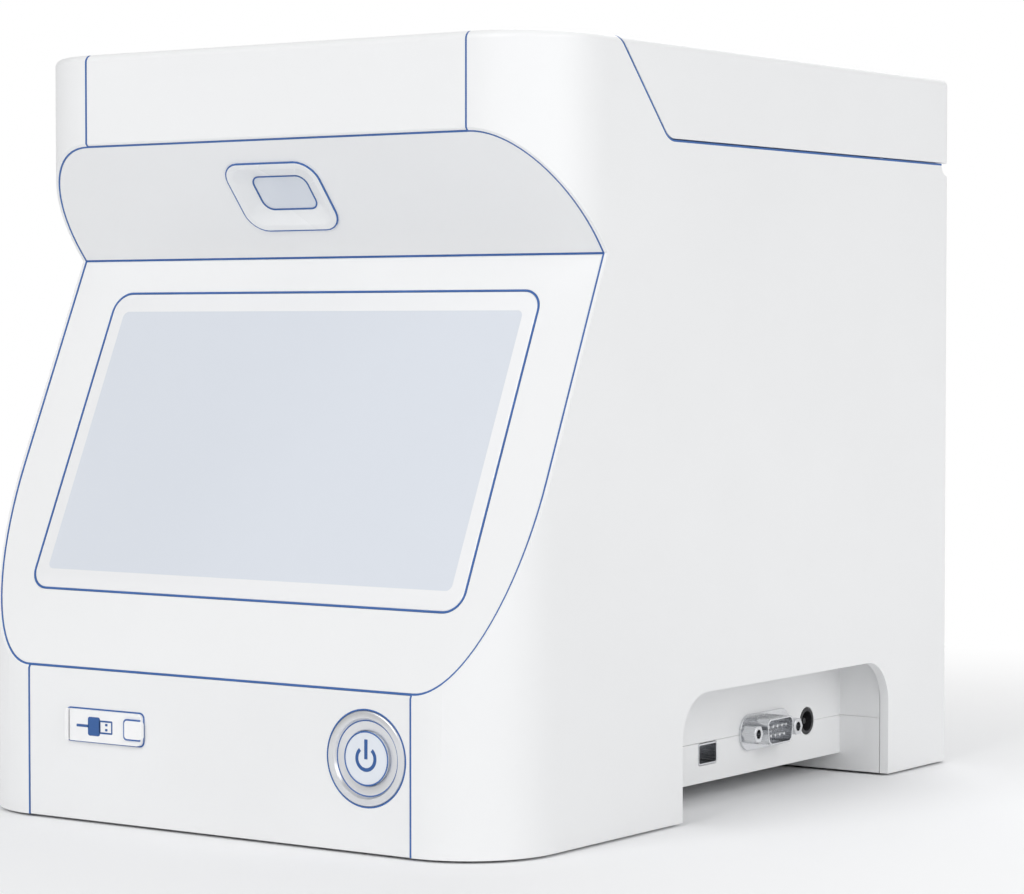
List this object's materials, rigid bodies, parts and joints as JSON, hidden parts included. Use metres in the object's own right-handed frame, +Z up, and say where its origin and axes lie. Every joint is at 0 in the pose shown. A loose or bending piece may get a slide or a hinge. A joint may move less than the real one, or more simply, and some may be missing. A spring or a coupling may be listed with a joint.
{
  "type": "real-time pcr machine",
  "caption": "Bench-top real-time PCR machine: sloping touch screen under a scanner brow, rear-hinged lid over a heated sample well, and a side recess for its connectors.",
  "frame": {"origin": "under the middle of the machine's bounding box, on the surface it stands on", "axes": "+X to the right seen from the front, +Y to the rear, +Z up"},
  "size_m": [0.2, 0.27, 0.231],
  "materials": {
    "cover_plastic": "fine moulded texture, white",
    "seal_rubber": "satin blue silicone",
    "inner_plastic": "fine moulded texture, cool grey",
    "dark_plastic": "moulded, dark",
    "machined_aluminium": "machined and anodised",
    "sheet_steel": "zinc-plated sheet",
    "bright_steel": "turned and plated",
    "button_metal": "satin turned ring",
    "button_face": "satin, pale blue-grey",
    "display_face": "pale blue-grey, backlit",
    "printed_glass": "polished, printed white behind round a pale display",
    "clear_glass": "polished",
    "scanner_trim": "smooth white",
    "circuit_board": "solder mask over glass laminate",
    "ceramic_tile": "unglazed ceramic",
    "cover_rubber": "soft white elastomer",
    "foot_rubber": "matt black",
    "socket_plastic": "moulded, black"
  },
  "bodies": {
    "housing": {"left_side_shell": "cover_plastic", "right_side_shell": "cover_plastic", "forehead_panel": "cover_plastic", "brow_panel": "cover_plastic", "screen_fascia": "cover_plastic", "lower_front_panel": "cover_plastic", "rear_panel": "cover_plastic", "base_tray": "cover_plastic", "recess_pocket": "cover_plastic", "fascia_seal": "seal_rubber", "panel_seals": "seal_rubber", "lid_seal": "seal_rubber", "glass_seal": "seal_rubber", "top_deck": "inner_plastic", "block_collar": "dark_plastic", "optics_module": "dark_plastic", "fan_housing": "dark_plastic", "scanner_engine": "dark_plastic", "button_switch": "dark_plastic", "air_duct": "dark_plastic", "well_block": "machined_aluminium", "heat_sink": "machined_aluminium", "hinge_leaf_body": "sheet_steel", "left_chassis_plate": "sheet_steel", "right_chassis_plate": "sheet_steel", "screen_bracket": "sheet_steel", "button_nut": "sheet_steel", "catch_magnets": "bright_steel", "hinge_pin": "bright_steel", "deck_screws": "bright_steel", "rear_screws": "bright_steel", "serial_port": "bright_steel", "jackscrews": "bright_steel", "data_port": "bright_steel", "side_port": "bright_steel", "button_bezel": "button_metal", "lcd_panel": "display_face", "touch_glass": "printed_glass", "scanner_window": "clear_glass", "optics_lenses": "clear_glass", "scanner_bezel": "scanner_trim", "main_board": "circuit_board", "port_board": "circuit_board", "peltier": "ceramic_tile", "cover_anchor": "cover_rubber", "rubber_feet": "foot_rubber", "power_jack": "socket_plastic"},
    "lid": {"lid_shell": "cover_plastic", "lid_liner": "inner_plastic", "liner_screws": "bright_steel", "catch_pins": "bright_steel", "hinge_leaf_lid": "sheet_steel", "plate_springs": "bright_steel"},
    "press_plate": {"press_plate": "machined_aluminium", "guide_pins": "bright_steel"},
    "power_button": {"button_cap": "button_face", "button_spring": "bright_steel"},
    "port_cover": {"port_cover": "cover_rubber"},
    "fan": {"fan_rotor": "dark_plastic"}
  },
  "joints": [
    {"name": "lid_hinge", "type": "hinge", "parent": "housing", "child": "lid", "pos_m": [0, 0.1324, 0.2026], "axis": [-1, 0, 0], "range_deg": [0, 95]},
    {"name": "plate_slide", "type": "slide", "parent": "lid", "child": "press_plate", "axis": [0, 0, 1], "range_m": [0, 0.0024], "stiffness_N_per_m": 600, "springref_m": -0.002, "deforming": ["plate_springs"]},
    {"name": "power_button_press", "type": "slide", "parent": "housing", "child": "power_button", "axis": [0, 1, 0], "range_m": [0, 0.0015], "stiffness_N_per_m": 800, "springref_m": -0.001},
    {"name": "port_cover_hinge", "type": "hinge", "parent": "housing", "child": "port_cover", "pos_m": [-0.0534, -0.13375, 0.0293], "axis": [0, 0, -1], "range_deg": [0, 110]},
    {"name": "fan_spin", "type": "hinge", "parent": "housing", "child": "fan", "pos_m": [0, 0.117, 0.1439], "axis": [0, 1, 0], "continuous": true}
  ]
}
